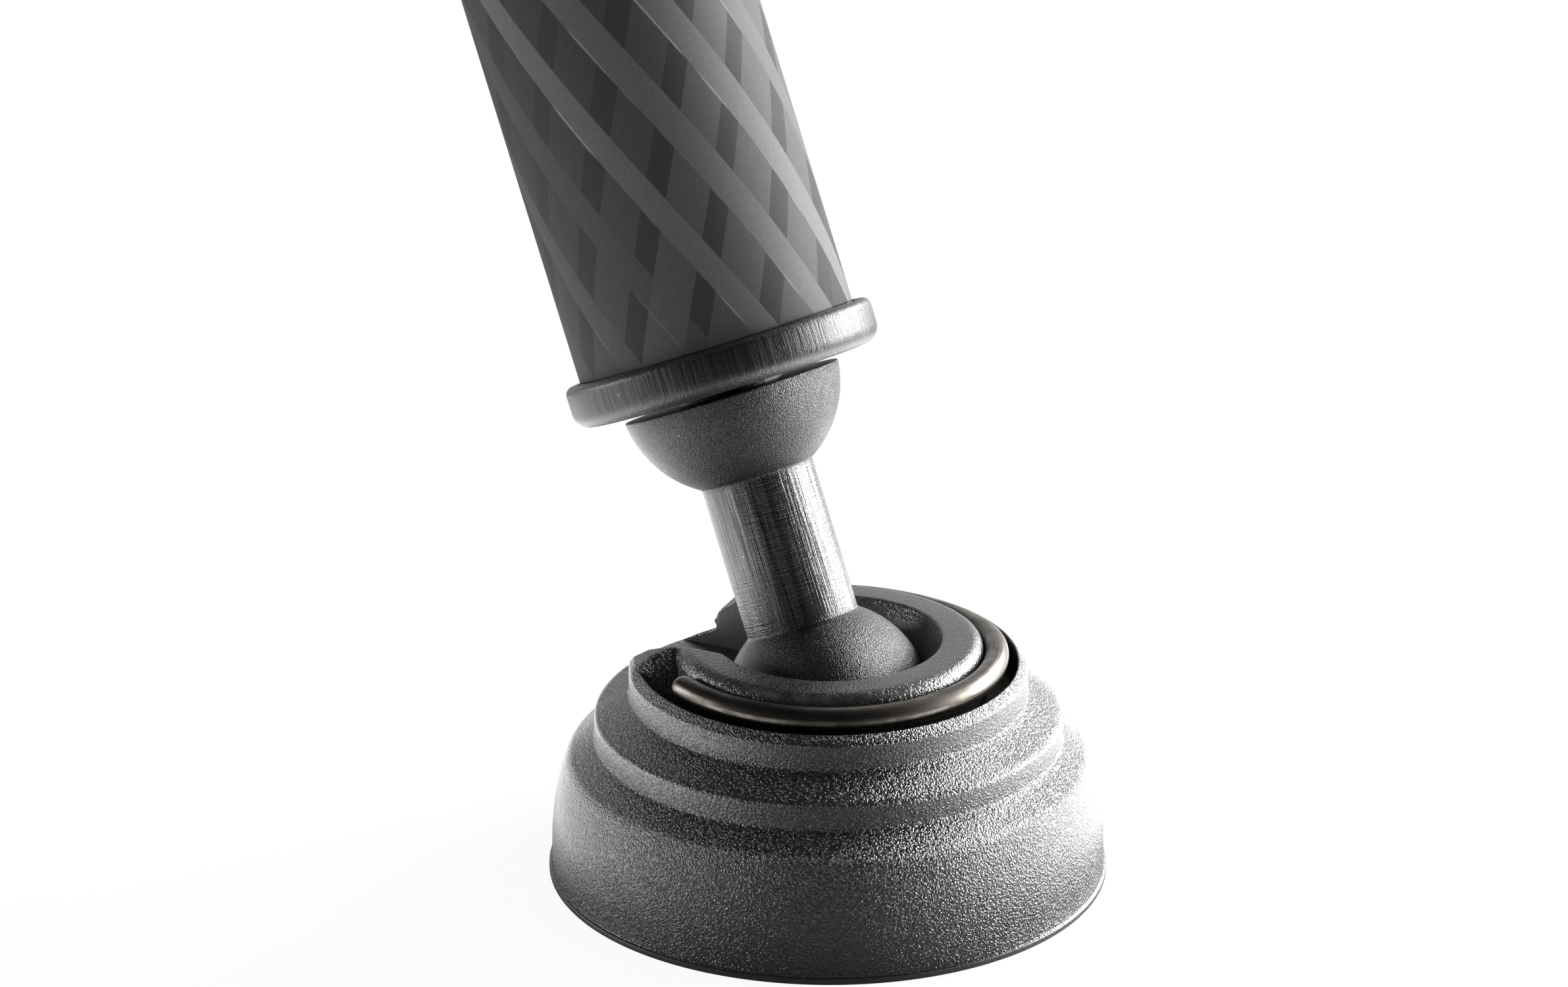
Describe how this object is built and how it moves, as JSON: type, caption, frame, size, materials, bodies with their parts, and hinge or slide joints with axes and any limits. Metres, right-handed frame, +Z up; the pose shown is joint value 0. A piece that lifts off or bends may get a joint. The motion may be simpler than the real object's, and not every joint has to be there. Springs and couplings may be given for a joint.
{
  "type": "camera monopod",
  "caption": "Telescopic carbon-fibre camera monopod with twist locks, a hand grip, a threaded camera plate and a stepped rubber foot on a ball joint held by a spring ring.",
  "frame": {"origin": "centre of the foot's flat sole, on the floor", "axes": "+Z up from the floor; the leg leans towards -X in the XZ plane; the slot of the foot points towards -X, turned a little towards -Y"},
  "size_m": [0.3061, 0.058, 0.5751],
  "materials": {
    "foot_rubber": "pebbled black rubber",
    "grip_rubber": "fine-grained black grip rubber",
    "black_metal": "satin black anodised",
    "carbon": "satin filament-wound carbon fibre",
    "spring_steel": "bare spring wire",
    "plain_steel": "plain turned steel",
    "seat_plastic": "natural acetal"
  },
  "bodies": {
    "foot": {"foot_body": "foot_rubber", "spring_ring": "spring_steel"},
    "seat": {"ball_seat": "seat_plastic"},
    "stud": {"ball_stud": "black_metal", "foot_screw": "plain_steel"},
    "leg_4": {"end_collar": "black_metal", "tube_4": "carbon", "guide_sleeve_4": "seat_plastic"},
    "leg_3": {"tube_3": "carbon", "ferrule_3": "black_metal", "collet_3": "seat_plastic", "guide_sleeve_3": "seat_plastic"},
    "lock_3": {"lock_ring_3": "black_metal", "lock_grip_3": "foot_rubber", "dust_seal_3": "foot_rubber"},
    "leg_2": {"tube_2": "carbon", "ferrule_2": "black_metal", "collet_2": "seat_plastic", "guide_sleeve_2": "seat_plastic"},
    "lock_2": {"lock_ring_2": "black_metal", "lock_grip_2": "foot_rubber", "dust_seal_2": "foot_rubber"},
    "leg_1": {"tube_1": "carbon", "ferrule_1": "black_metal", "collet_1": "seat_plastic", "hand_grip": "grip_rubber", "grip_trim_ring": "black_metal", "head_casting": "black_metal", "camera_plate": "black_metal", "plate_pad": "foot_rubber", "camera_screw": "plain_steel", "plate_screws": "plain_steel"},
    "lock_1": {"lock_ring_1": "black_metal", "lock_grip_1": "foot_rubber", "dust_seal_1": "foot_rubber"},
    "strap": {"strap_ring": "plain_steel"}
  },
  "joints": [
    {"name": "foot_swivel", "type": "hinge", "parent": "foot", "child": "seat", "pos_m": [0, 0, 0.01538], "axis": [0, 0, 1], "continuous": true},
    {"name": "foot_tilt", "type": "hinge", "parent": "seat", "child": "stud", "pos_m": [0, 0, 0.01538], "axis": [0, 1, 0], "range_deg": [-5.5, 54.5]},
    {"name": "stud_turn", "type": "hinge", "parent": "stud", "child": "leg_4", "pos_m": [0, 0, 0.01538], "axis": [-0.4147, 0, 0.91], "continuous": true},
    {"name": "slide_4", "type": "slide", "parent": "leg_4", "child": "leg_3", "axis": [-0.4147, 0, 0.91], "range_m": [-0.06, 0.307]},
    {"name": "slide_3", "type": "slide", "parent": "leg_3", "child": "leg_2", "axis": [-0.4147, 0, 0.91], "range_m": [0, 0.3275]},
    {"name": "slide_2", "type": "slide", "parent": "leg_2", "child": "leg_1", "axis": [-0.4147, 0, 0.91], "range_m": [0, 0.288]},
    {"name": "lock_3_turn", "type": "hinge", "parent": "leg_3", "child": "lock_3", "pos_m": [-0.04694, 0, 0.11839], "axis": [0.4147, 0, -0.91], "range_deg": [0, 90]},
    {"name": "lock_2_turn", "type": "hinge", "parent": "leg_2", "child": "lock_2", "pos_m": [-0.06332, 0, 0.15433], "axis": [0.4147, 0, -0.91], "range_deg": [0, 90]},
    {"name": "lock_1_turn", "type": "hinge", "parent": "leg_1", "child": "lock_1", "pos_m": [-0.0797, 0, 0.19027], "axis": [0.4147, 0, -0.91], "range_deg": [0, 90]},
    {"name": "strap_turn", "type": "hinge", "parent": "leg_1", "child": "strap", "pos_m": [-0.24517, 0, 0.55335], "axis": [-0.4147, 0, 0.91], "continuous": true}
  ]
}
